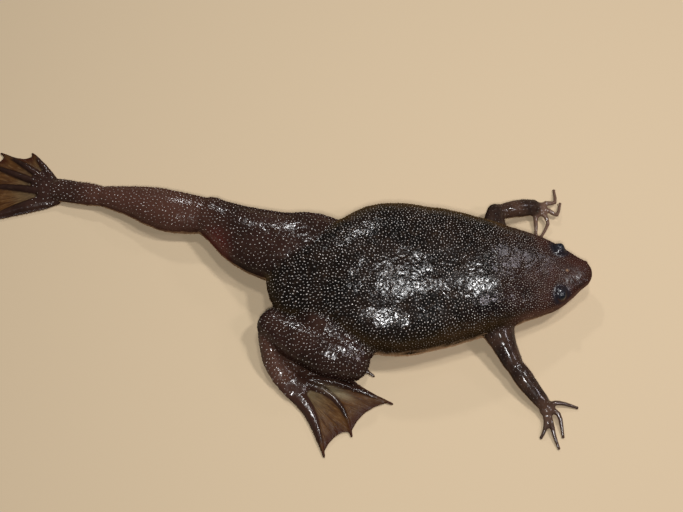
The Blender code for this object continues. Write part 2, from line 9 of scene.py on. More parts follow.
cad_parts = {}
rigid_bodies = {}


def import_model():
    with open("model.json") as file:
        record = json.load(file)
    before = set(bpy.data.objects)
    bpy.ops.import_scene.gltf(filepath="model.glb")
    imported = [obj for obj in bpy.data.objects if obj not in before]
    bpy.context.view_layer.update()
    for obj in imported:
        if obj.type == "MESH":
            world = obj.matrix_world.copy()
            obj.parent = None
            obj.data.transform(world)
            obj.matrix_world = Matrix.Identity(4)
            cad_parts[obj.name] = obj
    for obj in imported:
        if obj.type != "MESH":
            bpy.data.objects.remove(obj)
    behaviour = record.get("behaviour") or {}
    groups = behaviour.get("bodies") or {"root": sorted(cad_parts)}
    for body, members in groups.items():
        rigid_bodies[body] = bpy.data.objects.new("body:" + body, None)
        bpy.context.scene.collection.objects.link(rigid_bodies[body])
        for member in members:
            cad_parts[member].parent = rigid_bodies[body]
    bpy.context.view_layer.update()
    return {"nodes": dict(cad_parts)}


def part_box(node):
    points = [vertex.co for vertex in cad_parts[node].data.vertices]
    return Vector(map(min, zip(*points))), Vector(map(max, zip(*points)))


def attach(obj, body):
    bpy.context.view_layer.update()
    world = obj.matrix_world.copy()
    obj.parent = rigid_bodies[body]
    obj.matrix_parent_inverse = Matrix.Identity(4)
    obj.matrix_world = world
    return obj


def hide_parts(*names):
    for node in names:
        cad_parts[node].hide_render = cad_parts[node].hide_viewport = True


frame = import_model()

# Carvalho's Surinam toad: its wet skin in one piece, the tubercles that stand on it, and its eyes.
# Places are given in the animal's own axes in millimetres: X from the vent to the snout, Y to its
# left, Z up from the floor. spot() turns them into the frame's metres.

MM = 0.001
HEAD_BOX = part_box("head")
TORSO_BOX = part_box("torso")
SNOUT_X = 72.0
MIDDLE_Y = (TORSO_BOX[0].y + TORSO_BOX[1].y) / 2
VENT = Vector((HEAD_BOX[1].x - SNOUT_X * MM, MIDDLE_Y, 0.0))

SIDES = {"left": 1, "right": -1}
LEGS = [part + "_" + side for side in SIDES for part in ("thigh", "shank", "tarsus")]
ARMS = [part + "_" + side for side in SIDES for part in ("upper_arm", "forearm")]
HANDS = ["hand_" + side for side in SIDES]
FEET = ["foot_" + side for side in SIDES]
ANKLES = ["tarsus_" + side for side in SIDES]
FLESH = ["torso", "head", *LEGS, *ARMS, *HANDS, *FEET]

# Skin
JOINT_BRIDGE = 0.20  # how far the parts swell so that the gaps between them close
SKIN_VOXEL = 0.21
SKIN_TRIANGLES = 192000
DEEPEST = 4.0  # the thickness of the body is measured no further than this
WEB_THICKEST = 0.95  # a thinner part of the foot is web
WEB_THIN = 0.09  # taken off each face of the web
UNEVEN = ((4.5, 0.36), (1.7, 0.11))  # width and height of the skin's soft swellings
FOLDS = (0.8, 0.28)  # the same for the folds where the parts meet
FACE_START = (58.5, 60.5)  # along X, where the skin's triangles grow finer

# Head, with places and ways as on the left side
EYE_RADIUS = 1.27
EYE_OUT = (0.42, 0.56, 0.71)  # the way the eye looks
EYE_FRONT = (0.65, 0.6, -0.45)  # from the eye to the front of its rim
EYE_OPENING = math.radians(57)  # from the way the eye looks to the edge of the skin round it
EYE_SUNK = 0.32  # how far the skin inside the opening lies below the eye's surface
CORNEA_RISE = 0.12
CORNEA_WIDTH = 0.9
LID = 0.30  # thickness of the skin round the eye
LID_EDGE = 0.04  # the same at the edge of the opening
MOUND_REACH = 2.7  # how far from the eye's centre its mound of skin spreads
LID_SLOPE = 17.0  # degrees over which the lid thins to the edge of the opening
MOUTH_CORNER_X = 60.9
MOUTH_LINE = (0.0, 0.19, 0.30)  # how far off the line it lies, its width and its depth
UPPER_LIP = (0.5, 0.32, 0.13)  # the same, with its height
LOWER_LIP = (-0.5, 0.35, 0.08)
NOSTRIL = (70.8, 2.3, 6.95)
NOSTRIL_RING = (0.0, 0.46, 0.52)
NOSTRIL_HOLE = (0.0, 0.20, 0.50)
SNOUT_SPECK = (66.1, 0.05, 8.2)
SNOUT_SPECK_RADIUS = 0.33

# Skin that closes the crook of the folded knee
CROOK = (5.6, -17.2, 2.1)
CROOK_RADIUS = 1.7

# Tubercles
TUBERCLE_RINGS = ((1.0, -0.10), (0.72, 0.06), (0.46, 0.26), (0.22, 0.50))  # radius and height
TUBERCLE_TOP = 0.57
TUBERCLE_SIDES = 6
TUBERCLE_LEAN = -0.25
TUBERCLE_TURN = (0.15, 0.4)  # middle and spread, in radians
TUBERCLE_WIDTHS = (0.66, 1.16)
TUBERCLE_HEIGHTS = (0.75, 1.25)
TUBERCLE_LENGTHS = (1.0, 1.3)
TIP_LIGHTS = (0.35, 1.05)
SPACING_X = (-2.0, 20.0, 40.0, 56.0, 66.0)
SPACING = (0.66, 0.61, 0.56, 0.46, 0.41)  # how far apart they stand at these places along the back
LEG_SPACING = 0.74
ARM_SPACING = 0.7
FOOT_SPACING = 0.3  # more on the feet
TUBERCLE_RADIUS = 0.48  # as a share of their spacing
THIGH_ROWS = (0.88, 0.47, 0.0)  # the way the rows of tubercles run on the folded leg
ROW_STRETCH = 0.75
ROW_SQUEEZE = 0.22
BARE = 9.0  # a spacing this wide leaves the skin without tubercles
FIRST_SEED = 20

# The map, where a tubercle's patch lies at its root's place on the unwrapped skin
PATCH = 0.003  # its width, of which a little is left free
PATCH_FILL = 0.98
UNWRAP_SHARE = 0.06  # of the skin's triangles, in the light copy that is unwrapped
UNWRAP_ANGLE = math.radians(66)
UNWRAP_MARGIN = 0.004

# Camera of the reference view
CAMERA_AIM = (15.767, 8.719, 0.0)
CAMERA_TURN = math.radians(-2.2015)
CAMERA_ELEVATION = math.radians(68)
CAMERA_DISTANCE = 300.0
CAMERA_LENS = 68.137
CAMERA_SENSOR = 36.0

# Lights: way from the middle of the animal, width, power in watts and tint
LIGHT_MIDDLE = (30.0, 0.0, 6.0)
LIGHT_DISTANCE = 380.0
WHITE = (1.0, 1.0, 1.0)
PINKISH = (1.0, 0.92, 0.99)
LIGHTS = {
    "key": ((0.05, 0.20, 0.98), 38, 0.46, WHITE),
    "shoulder": ((0.46, 0.14, 0.87), 38, 0.78, WHITE),
    "near": ((-0.07, -0.41, 0.91), 38, 1.0, WHITE),
    "hip": ((-0.20, 0.74, 0.64), 22, 0.30, WHITE),
    "neck_left": ((0.70, 0.42, 0.58), 42, 0.10, PINKISH),
    "neck_right": ((0.63, -0.20, 0.75), 48, 0.25, PINKISH),
}
ROOM_COLOUR = (1.0, 0.98, 0.95, 1.0)
ROOM_LIGHT = 0.075
FLOOR_METRES = 1.6
FLOOR_COLOUR = (0.375, 0.29, 0.187, 1.0)

# Markings: where each begins and is full along X, how high it reaches, or where it lies
MARKS = (
    *("head", "leg", "arm", "hand", "foot", "web", "reach", "fan"),
    *("pale", "cream_and_painted_light", "rim", "ruddy", "tawny", "low", "lid", "dry", "light"),
)
HEAD_RISE = (46.0, 66.0)  # the head's red
CHEEK_RISE = (40.0, 52.0)
CHOPS_RISE = (49.0, 57.0)
JAW_RISE = (58.0, 61.0)
SNOUT_RISE = (59.0, 64.0)
CHEEK_TOP = 5.1
FLANK_TOP = 4.7
FOOT_ROOTS = {"left": (-52.0, 27.8, 22.0), "right": (4.2, -21.6, 23.0)}  # x, y, length of the toes
FOOT_REACH = 1.3  # a foot's marks end at this many times that length
WEBLESS = {"left": [(-152.0, -90.0)], "right": [(-180.0, -71.0), (-5.0, 90.0)]}  # degrees
SECTOR = 2  # degrees, for finding the edge of the web
WEB_MARGIN_WIDTH = 2.4
# The right web's pale root patch, brightened further as painted light where the leg shades it
WEB_LIGHT = (13.0, -24.1)  # the light patch at the root of the right foot's web
WEB_LIGHT_WAY = (0.91, -0.41)
WEB_LIGHT_SIZE = (6.5, 1.7)
HIDDEN_TOE = (21.5, -20.5)  # the tip that shows in front of the right knee
HIDDEN_TOE_REACH = 2.2
KNEE_PIT = (-11.6, 10.4, 4.0)  # the red hollow of the left knee
KNEE_PIT_SIZE = (8.0, 6.5, 7.0)

# Patterns, in repeats per metre, and relief, in metres
CLOUD_SCALE = 160.0
FLECK_SCALE = 900.0
CREASE_SCALE = 950.0
FILM_SCALE = 1500.0
GRAIN_SCALE = 2600.0
TIP_GRAIN_SCALE = 3000.0
IRIS_SCALE = 6000.0
SKIN_RELIEF = 0.00016
TUBERCLE_RELIEF = 0.00005
WET = {"IOR": 1.4, "Specular_IOR_Level": 0.34}
EYE_WET = {"IOR": 1.38, "Specular_IOR_Level": 0.3, "Roughness": 0.29}

# Colours
BACK_BLACK = (0.0030, 0.0022, 0.0018)
BACK_BROWN = (0.0090, 0.0052, 0.0037)
FLANK_BROWN = (0.052, 0.029, 0.009)
HEAD_BROWN = (0.011, 0.0056, 0.0044)
HEAD_RED = (0.026, 0.0092, 0.0064)
LEG_DARK = (0.011, 0.0052, 0.0038)
LEG_BROWN = (0.022, 0.0100, 0.0072)
ARM_DARK = (0.012, 0.0068, 0.0054)
ARM_BROWN = (0.042, 0.022, 0.014)
FINGER_BROWN = (0.100, 0.058, 0.040)
RUDDY = (0.062, 0.013, 0.010)
TAWNY = (0.058, 0.027, 0.018)
WEB_MARGIN = (0.026, 0.0075, 0.0035)
LID_BLACK = (0.008, 0.008, 0.011)
WEB_TAN = (0.070, 0.032, 0.0105)
WEB_BROWN = (0.032, 0.0125, 0.0045)
WEB_GREY = (0.078, 0.056, 0.028)
# The web's pale root patch, made paler as painted light over the shade the leg casts
WEB_CREAM_AND_PAINTED_LIGHT = (0.160, 0.128, 0.076)
TOE_TIP = (0.020, 0.008, 0.0045)
PALE_TAN = (0.36, 0.225, 0.125)
FLECK = (0.036, 0.021, 0.013)
# Pale tips: partly the tubercles' own white keratin, partly painted glints
TIP_PALE_AND_GLINT = (0.50, 0.45, 0.41)
TIP_TAN = (0.36, 0.22, 0.12)
WRINKLE_TAN = (0.18, 0.11, 0.05)
EYE_BLACK = (0.004, 0.005, 0.008)
EYE_IRIS = (0.006, 0.007, 0.011)
EYE_SPECK = (0.016, 0.015, 0.018)


def spot(x, y, z):
    return VENT + Vector((x, y, z)) * MM


def mirrored(place, side):
    """A place or a way that is given for the left side, on this side."""
    return np.array(place) * (1, SIDES[side], 1)


def only(*objects):
    """Deselects everything, then selects these objects, the first one active."""
    bpy.ops.object.select_all(action="DESELECT")
    for obj in objects:
        obj.select_set(True)
    bpy.context.view_layer.objects.active = objects[0]


def apply_modifier(obj, kind, **settings):
    """Adds one modifier with its settings and applies it."""
    modifier = obj.modifiers.new(kind.lower(), kind)
    for key, value in settings.items():
        setattr(modifier, key, value)
    only(obj)
    bpy.ops.object.modifier_apply(modifier=modifier.name)


def read(collection, name, width=1):
    """One property of every vertex, edge or face as numbers."""
    kind = np.int32 if name == "vertices" else np.float32
    out = np.empty(len(collection) * width, kind)
    collection.foreach_get(name, out)
    return out.reshape(-1, width) if width > 1 else out


def places(mesh):
    """Every vertex in the animal's axes, in millimetres."""
    return (read(mesh.vertices, "co", 3).astype(float) - np.array(VENT)) / MM


def set_places(mesh, points):
    mesh.vertices.foreach_set("co", (points * MM + np.array(VENT)).astype(np.float32).ravel())
    mesh.update()


def normals_of(mesh):
    return read(mesh.vertices, "normal", 3).astype(float)


def edges_of(mesh):
    return read(mesh.edges, "vertices", 2)


def set_values(mesh, name, values):
    """A number at every vertex that the materials can read by this name."""
    layer = mesh.attributes.get(name) or mesh.attributes.new(name, "FLOAT", "POINT")
    layer.data.foreach_set("value", values.astype(np.float32))


def get_values(mesh, name):
    return read(mesh.attributes[name].data, "value").astype(float)


def set_group(obj, name, weights):
    """A vertex group with these weights, in twentieths, for a modifier."""
    group = obj.vertex_groups.new(name=name)
    steps = np.round(np.clip(weights, 0, 1) * 20).astype(int)
    for step in range(1, 21):
        chosen = np.nonzero(steps == step)[0]
        if len(chosen):
            group.add(chosen.tolist(), step / 20, "REPLACE")


def ramp(values, low, high):
    """0 below low, 1 above high, and a smooth step between."""
    t = np.clip((values - low) / (high - low), 0, 1)
    return t * t * (3 - 2 * t)


def blurred(values, edges, rounds):
    """Values spread over the surface from each vertex to its neighbours."""
    count = np.bincount(edges.ravel(), minlength=len(values))
    count = np.maximum(count, 1)
    for _ in range(rounds):
        near = np.bincount(edges[:, 0], values[edges[:, 1]], len(values))
        near += np.bincount(edges[:, 1], values[edges[:, 0]], len(values))
        values = 0.5 * values + 0.5 * near / count
    return values


def triangle_tree(mesh):
    corners = [vert.co.copy() for vert in mesh.vertices]
    faces = [tuple(face.vertices) for face in mesh.polygons]
    return BVHTree.FromPolygons(corners, faces), corners, faces


def joined_flesh():
    """One object with a copy of every flesh node's mesh, its doubles merged."""
    only(*[frame["nodes"][name] for name in FLESH])
    bpy.ops.object.duplicate()
    copies = list(bpy.context.selected_objects)
    bpy.ops.object.parent_clear(type="CLEAR_KEEP_TRANSFORM")
    for copy in copies:
        for key in list(copy.keys()):
            del copy[key]
    bpy.context.view_layer.objects.active = copies[0]
    bpy.ops.object.join()
    skin = bpy.context.view_layer.objects.active
    skin.name = "skin"
    skin.data.materials.clear()
    bpy.ops.object.mode_set(mode="EDIT")
    bpy.ops.mesh.select_all(action="SELECT")
    bpy.ops.mesh.remove_doubles(threshold=0.002 * MM)
    bpy.ops.object.mode_set(mode="OBJECT")
    return skin


def fill(skin):
    """Joins in balls for the skin to close over: one in each eye socket, one in the crook."""
    balls = []
    seats = [(eye_seat(side)[0], EYE_RADIUS + LID) for side in SIDES]
    for centre, radius in [*seats, (CROOK, CROOK_RADIUS)]:
        bpy.ops.object.select_all(action="DESELECT")
        bpy.ops.mesh.primitive_uv_sphere_add(
            segments=40, ring_count=24, radius=radius * MM, location=spot(*centre)
        )
        balls.append(bpy.context.view_layer.objects.active)
    only(skin, *balls)
    bpy.ops.object.join()


def close_over(skin):
    """Remeshes the parts as one surface, swollen first so that no gap between them is left."""
    apply_modifier(skin, "DISPLACE", strength=JOINT_BRIDGE * MM, mid_level=0.0)
    apply_modifier(skin, "REMESH", mode="VOXEL", voxel_size=SKIN_VOXEL * MM)
    apply_modifier(skin, "SMOOTH", factor=0.5, iterations=2)
    apply_modifier(skin, "DISPLACE", strength=-JOINT_BRIDGE * MM, mid_level=0.0)


def nearest_nodes(mesh):
    """For every vertex, the number of the flesh node that lies nearest."""
    points, faces, owner = [], [], []
    for number, name in enumerate(FLESH):
        part = frame["nodes"][name].data
        first = len(points)
        points += [vert.co.copy() for vert in part.vertices]
        faces += [tuple(first + k for k in face.vertices) for face in part.polygons]
        owner += [number] * len(part.polygons)
    tree = BVHTree.FromPolygons(points, faces)
    return np.array([owner[tree.find_nearest(vert.co)[2]] for vert in mesh.vertices])


class Parts:
    """Which flesh node each vertex of the skin belongs to, and the edges between them."""

    def __init__(self, mesh):
        self.edges = edges_of(mesh)
        self.nearest = nearest_nodes(mesh)

    def share(self, nodes, rounds):
        """1 on these nodes and 0 elsewhere, with a soft border."""
        numbers = [FLESH.index(name) for name in nodes]
        return blurred(np.isin(self.nearest, numbers).astype(float), self.edges, rounds)

    def seams(self):
        """1 where two parts meet, fading to 0 away from there."""
        first, second = self.edges.T
        crosses = (self.nearest[first] != self.nearest[second]).astype(float)
        at_seam = np.zeros(len(self.nearest))
        np.maximum.at(at_seam, self.edges.ravel(), np.repeat(crosses, 2))
        return np.clip(blurred(at_seam, self.edges, 40) * 9, 0, 1)


def swell(skin, group, size, strength):
    """Raises and lowers the skin softly, in patches about this many millimetres wide."""
    clouds = bpy.data.textures.new(group, "CLOUDS")
    clouds.noise_scale = size * MM
    apply_modifier(
        skin, "DISPLACE", texture=clouds, strength=strength * MM, mid_level=0.5, vertex_group=group
    )


def soften(skin, parts):
    """Smooths the joins between the parts, then gives the skin its swellings and folds."""
    digits = parts.share(HANDS + FEET, 6)
    seams = parts.seams()
    off_digits = 1 - np.clip(digits * 1.4, 0, 1)
    set_group(skin, "creases", seams * (1 - 0.7 * digits))
    apply_modifier(skin, "SMOOTH", factor=0.6, iterations=26, vertex_group="creases")
    set_group(skin, "broad", off_digits)
    apply_modifier(skin, "SMOOTH", factor=0.5, iterations=5, vertex_group="broad")
    face = parts.share(["head"], 40)
    set_group(skin, "uneven", (1 - 0.65 * face) * off_digits)
    for size, strength in UNEVEN:
        swell(skin, "uneven", size, strength)
    set_group(skin, "folds", seams * (1 - face) * off_digits)
    swell(skin, "folds", *FOLDS)


def thickness(mesh, normals):
    """How thick the body is under each vertex, straight in from its surface."""
    tree = triangle_tree(mesh)[0]
    out = np.full(len(normals), DEEPEST)
    for i, (vert, normal) in enumerate(zip(mesh.vertices, normals)):
        inward = Vector(-normal)
        hit = tree.ray_cast(vert.co + inward * 0.05 * MM, inward, DEEPEST * MM)
        if hit[0] is not None:
            out[i] = hit[3] / MM
    return out


def eye_seat(side):
    """The eye's centre and the way it looks, from its CAD node."""
    low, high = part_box("eye_" + side)
    centre = (np.array((low + high) / 2) - np.array(VENT)) / MM
    way = mirrored(EYE_OUT, side)
    return centre, way / np.linalg.norm(way)


def mouth_height(x):
    """Height of the line of the mouth along the head."""
    along = (60.0, 62.0, 64.0, 65.5, 67.0, 68.5, 69.5, 71.0, 72.0)
    height = (4.64, 4.62, 4.62, 4.74, 4.93, 5.24, 5.42, 5.55, 5.85)
    return np.interp(x, along, height)


def ridge(off, middle, width, height):
    """A rounded rise across a line or a point, by how far off it lies."""
    return np.exp(-(((off - middle) / width) ** 2)) * height


def lidded(points, side):
    """The mound of skin round one eye, with a round opening that its edge runs close about."""
    centre, way = eye_seat(side)
    offset = points - centre
    reach = np.linalg.norm(offset, axis=1)
    ahead = offset @ way / reach
    mound = ramp(ahead, -0.25, 0.15) * ramp(MOUND_REACH - reach, 0.0, 0.8)
    over = reach - EYE_RADIUS - LID
    wanted = EYE_RADIUS + LID + np.where(over > 0, over * 0.4, over)
    angle = np.arccos(np.clip(ahead, -1, 1))
    past = np.degrees(angle - EYE_OPENING)
    near = reach < EYE_RADIUS + LID + 0.5
    sloping = near & (past < 5 + LID_SLOPE)
    thin = LID_EDGE + (LID - LID_EDGE) * ramp(past, 5.0, 5 + LID_SLOPE)
    wanted = np.where(sloping, EYE_RADIUS + thin, wanted)
    wanted = np.where(near & (past < -5), EYE_RADIUS - EYE_SUNK, wanted)
    mound = np.where(sloping, 1.0, mound)
    aside = offset - way * (offset @ way)[:, None]
    aside /= np.linalg.norm(aside, axis=1)[:, None] + 1e-9
    edge = way * math.cos(EYE_OPENING) + aside * math.sin(EYE_OPENING)
    toward = np.where((near & (past < 6) & (past > -5))[:, None], edge, offset / reach[:, None])
    return points + (centre + toward * wanted[:, None] - points) * mound[:, None]


def sculpt_head(points, normals):
    """The line of the mouth with its lips, the nostrils and the lids."""
    moved = points.copy()
    x, z = points[:, 0], points[:, 2]
    ahead = ramp(x, MOUTH_CORNER_X - 0.5, MOUTH_CORNER_X + 2.0)
    side = ramp(0.35 - np.abs(normals[:, 2] + 0.1), -0.5, -0.2)
    off = z - mouth_height(x)
    lips = ridge(off, *UPPER_LIP) + ridge(off, *LOWER_LIP)
    moved += normals * ((lips - ridge(off, *MOUTH_LINE)) * ahead * side)[:, None]
    for name in SIDES:
        reach = np.linalg.norm(points - mirrored(NOSTRIL, name), axis=1)
        moved += normals * ridge(reach, *NOSTRIL_RING)[:, None]
        moved -= normals * ridge(reach, *NOSTRIL_HOLE)[:, None]
        moved = lidded(moved, name)
    return moved


def sculpt(mesh, parts):
    """Thins the webs, shapes the head and keeps the skin above the floor. Returns its vertices."""
    points, normals = places(mesh), normals_of(mesh)
    feet = parts.share(FEET, 3)
    thin = ramp(WEB_THICKEST - thickness(mesh, normals), 0.0, 0.12)
    membrane = blurred(thin * (feet > 0.5), parts.edges, 4)
    points -= normals * (WEB_THIN * membrane)[:, None]
    points = sculpt_head(points, normals)
    points[:, 2] = np.maximum(points[:, 2], 0.0)
    set_places(mesh, points)
    set_values(mesh, "web", membrane)
    return points


def label(mesh, parts):
    """Marks the limbs on the skin, each fading into its neighbours."""
    set_values(mesh, "leg", parts.share(LEGS + FEET, 40))
    set_values(mesh, "arm", parts.share(ARMS + HANDS, 30))
    set_values(mesh, "hand", parts.share(HANDS, 20))
    set_values(mesh, "foot", parts.share(FEET, 16))
    set_values(mesh, "ankle", parts.share(ANKLES + FEET, 50))


def simplify(skin, parts, along):
    """Brings the skin down to its triangles, with the most left on the face, hands and feet."""
    digits = parts.share(HANDS + FEET, 6)
    face = parts.share(["head"], 4) * ramp(along, *FACE_START)
    set_group(skin, "keep", 1 - np.clip(face + digits * 0.7, 0, 1))
    total = 2 * len(skin.data.polygons)
    apply_modifier(
        skin,
        "DECIMATE",
        ratio=SKIN_TRIANGLES / total,
        vertex_group="keep",
        vertex_group_factor=2.0,
    )
    bpy.ops.object.mode_set(mode="EDIT")
    bpy.ops.mesh.select_all(action="SELECT")
    bpy.ops.mesh.quads_convert_to_tris()
    bpy.ops.mesh.normals_make_consistent(inside=False)
    bpy.ops.object.mode_set(mode="OBJECT")
    bpy.ops.object.shade_smooth()
    skin.vertex_groups.clear()
    print("skin triangles", len(skin.data.polygons), "before", total)


def build_skin():
    """The skin in one piece over every flesh node, with its marks."""
    skin = joined_flesh()
    fill(skin)
    close_over(skin)
    parts = Parts(skin.data)
    soften(skin, parts)
    points = sculpt(skin.data, parts)
    label(skin.data, parts)
    simplify(skin, parts, points[:, 0])
    return skin


def build_eye(side, finish):
    """One eyeball, with its cornea raised a little where it looks."""
    centre, way = eye_seat(side)
    bpy.ops.object.select_all(action="DESELECT")
    turn = Vector(way).to_track_quat("Z", "Y").to_euler()
    bpy.ops.mesh.primitive_uv_sphere_add(
        segments=48, ring_count=32, radius=EYE_RADIUS * MM, location=spot(*centre), rotation=turn
    )
    eye = bpy.context.view_layer.objects.active
    eye.name = "eyeball_" + side
    bpy.ops.object.mode_set(mode="EDIT")
    bpy.ops.mesh.select_all(action="DESELECT")
    bpy.ops.object.mode_set(mode="OBJECT")
    for vert in eye.data.vertices:
        vert.select = vert.co.z > 0.999 * EYE_RADIUS * MM
    bpy.ops.object.mode_set(mode="EDIT")
    bpy.ops.transform.translate(
        value=Vector(way) * CORNEA_RISE * MM,
        use_proportional_edit=True,
        proportional_size=CORNEA_WIDTH * MM,
    )
    bpy.ops.object.mode_set(mode="OBJECT")
    bpy.ops.object.transform_apply(location=True, rotation=True, scale=True)
    bpy.ops.object.shade_smooth()
    eye.data.materials.append(finish)
    return eye


def tubercle_form():
    """One tubercle as points in units of its foot radius, and its faces."""
    around = TUBERCLE_SIDES
    points = [
        (r * math.cos(2 * math.pi * k / around), r * math.sin(2 * math.pi * k / around), h)
        for r, h in TUBERCLE_RINGS
        for k in range(around)
    ]
    faces = []
    for i in range(len(TUBERCLE_RINGS) - 1):
        for k in range(around):
            a, b = i * around + k, i * around + (k + 1) % around
            faces += [(a, b, b + around), (a, b + around, a + around)]
    points.append((0.0, 0.0, TUBERCLE_TOP))
    top, last = len(points) - 1, (len(TUBERCLE_RINGS) - 1) * around
    faces += [(last + k, last + (k + 1) % around, top) for k in range(around)]
    faces += [(0, k + 1, k) for k in range(1, around - 1)]
    return np.array(points), np.array(faces)


def in_rows(where, limb):
    """Where each tubercle counts as standing, so that those on the folded leg fall into rows."""
    along = where @ np.array(THIGH_ROWS)
    right = limb * (where[:, 1] < 0) * (where[:, 0] < 30)
    squeezed = where * (1 - ROW_SQUEEZE * right)[:, None]
    return squeezed + np.array(THIGH_ROWS) * (along * ROW_STRETCH * right)[:, None]


class Roots:
    """Places on the skin, each by the corners of its triangle and its share of every corner."""

    def __init__(self, mesh, corners, shares):
        self.mesh = mesh
        self.corners = corners
        self.shares = shares

    def __len__(self):
        return len(self.corners)

    def value(self, values):
        """A number or a vector at each root, from one at every vertex."""
        shares = self.shares if values.ndim == 1 else self.shares[:, :, None]
        return (values[self.corners] * shares).sum(axis=1)

    def mark(self, name):
        return self.value(get_values(self.mesh, name))

    def chosen(self, kept):
        return Roots(self.mesh, self.corners[kept], self.shares[kept])


def random_roots(mesh, spacing, rng, tries):
    """Seeded places all over the skin, more where they are wanted closer together."""
    points = places(mesh)
    mesh.calc_loop_triangles()
    tris = read(mesh.loop_triangles, "vertices", 3)
    a, b, c = (points[tris[:, k]] for k in range(3))
    area = np.linalg.norm(np.cross(b - a, c - a), axis=1) / 2
    want = spacing[tris].max(axis=1)
    weight = np.where(want < BARE, area / want**2, 0.0)
    chosen = rng.choice(len(tris), size=tries, p=weight / weight.sum())
    u, v = rng.random(tries), rng.random(tries)
    over = u + v > 1
    u[over], v[over] = 1 - u[over], 1 - v[over]
    return Roots(mesh, tris[chosen], np.stack([1 - u - v, u, v], axis=1))


def scattered(mesh, spacing, rng, tries):
    """Roots of which no two are closer than the spacing wanted there."""
    roots = random_roots(mesh, spacing, rng, tries)
    reach = roots.value(spacing)
    counted = in_rows(roots.value(places(mesh)), roots.mark("leg"))
    cell = float(reach.max())
    around = [(i, j, k) for i in (-1, 0, 1) for j in (-1, 0, 1) for k in (-1, 0, 1)]
    grid, kept = {}, []
    for number, ((x, y, z), gap) in enumerate(zip(counted.tolist(), reach.tolist())):
        key = (int(x // cell), int(y // cell), int(z // cell))
        near = [p for i, j, k in around for p in grid.get((key[0] + i, key[1] + j, key[2] + k), ())]
        if all((x - p[0]) ** 2 + (y - p[1]) ** 2 + (z - p[2]) ** 2 > gap * gap for p in near):
            grid.setdefault(key, []).append((x, y, z))
            kept.append(number)
    return roots.chosen(kept)


class Unwrap:
    """A light copy of the skin, unwrapped, which gives each tubercle its place on the map."""

    def __init__(self, skin):
        only(skin)
        bpy.ops.object.duplicate()
        copy = bpy.context.view_layer.objects.active
        apply_modifier(copy, "DECIMATE", ratio=UNWRAP_SHARE)
        bpy.ops.object.mode_set(mode="EDIT")
        bpy.ops.mesh.select_all(action="SELECT")
        bpy.ops.uv.smart_project(angle_limit=UNWRAP_ANGLE, island_margin=UNWRAP_MARGIN)
        bpy.ops.object.mode_set(mode="OBJECT")
        self.tree, self.corners, self.faces = triangle_tree(copy.data)
        self.flat = read(copy.data.uv_layers.active.data, "uv", 2).astype(float)
        self.first_loop = [face.loop_start for face in copy.data.polygons]
        bpy.data.objects.remove(copy)

    def place(self, point):
        """The place on the map of the nearest point of the skin."""
        near, _, number, _ = self.tree.find_nearest(point)
        a, b, c = (self.corners[k] for k in self.faces[number])
        first = self.first_loop[number]
        ab, ac, ap = b - a, c - a, near - a
        d00, d01, d11, d20, d21 = ab.dot(ab), ab.dot(ac), ac.dot(ac), ap.dot(ab), ap.dot(ac)
        size = d00 * d11 - d01 * d01
        v = (d11 * d20 - d01 * d21) / size if size else 0.0
        w = (d00 * d21 - d01 * d20) / size if size else 0.0
        return self.flat[first] * (1 - v - w) + self.flat[first + 1] * v + self.flat[first + 2] * w


def standing(form, where, up, bulk, rng):
    """The points of every tubercle, each with its own turn, width, height and length."""
    count = len(where)
    lie = np.array((1.0, 0.0, 0.0)) - up * up[:, :1]
    lie /= np.linalg.norm(lie, axis=1)[:, None] + 1e-9
    across = np.cross(up, lie)
    turn = rng.normal(*TUBERCLE_TURN, count)
    first = lie * np.cos(turn)[:, None] + across * np.sin(turn)[:, None]
    second = np.cross(up, first)
    wide = bulk * rng.uniform(*TUBERCLE_WIDTHS, count)
    tall = wide * rng.uniform(*TUBERCLE_HEIGHTS, count)
    long = wide * rng.uniform(*TUBERCLE_LENGTHS, count)
    lean = TUBERCLE_LEAN * wide
    x = form[:, 0][None, :] * long[:, None] + lean[:, None] * np.maximum(form[:, 2], 0)[None, :]
    y = form[:, 1][None, :] * wide[:, None]
    z = form[:, 2][None, :] * tall[:, None]
    points = (
        where[:, None, :]
        + first[:, None, :] * x[:, :, None]
        + second[:, None, :] * y[:, :, None]
        + up[:, None, :] * z[:, :, None]
    ).reshape(-1, 3)
    points[:, 2] = np.maximum(points[:, 2], 0.0)
    return points


def build_tubercles(skin, name, part, spacing, seed, tries, unwrap, finish):
    """The tubercles of one part of the body, joined into one mesh."""
    rng = np.random.default_rng(seed)
    roots = scattered(skin.data, np.where(part, spacing, BARE), rng, tries)
    count = len(roots)
    where = roots.value(places(skin.data))
    up = roots.value(normals_of(skin.data))
    up /= np.linalg.norm(up, axis=1)[:, None]
    form, faces = tubercle_form()
    points = standing(form, where, up, roots.mark("bulk"), rng)
    all_faces = (faces[None, :, :] + (np.arange(count) * len(form))[:, None, None]).reshape(-1, 3)
    made = bpy.data.meshes.new(name)
    made.from_pydata((points * MM + np.array(VENT)).tolist(), [], all_faces.tolist())
    for mark in MARKS:
        set_values(made, mark, np.repeat(roots.mark(mark), len(form)))
    set_values(made, "tip", np.tile(np.clip(form[:, 2] / 0.5, 0, 1), count))
    own = np.repeat(rng.uniform(*TIP_LIGHTS, count) ** 1.6, len(form))
    set_values(made, "light", np.clip(get_values(made, "light") * own, 0, 1))
    on_map = np.array([unwrap.place(spot(*point)) for point in where])
    patch = form[:, :2][None, :, :] * PATCH / 2 * PATCH_FILL
    uv = (np.clip(on_map, PATCH, 1 - PATCH)[:, None, :] + patch).reshape(-1, 2)
    layer = made.uv_layers.new(name="OFBake")
    layer.data.foreach_set("uv", uv[all_faces.ravel()].astype(np.float32).ravel())
    made.shade_smooth()
    made.update()
    obj = bpy.data.objects.new(name, made)
    bpy.context.scene.collection.objects.link(obj)
    made.materials.append(finish)
    print(name, count, "tubercles", len(made.polygons), "triangles")
    return obj


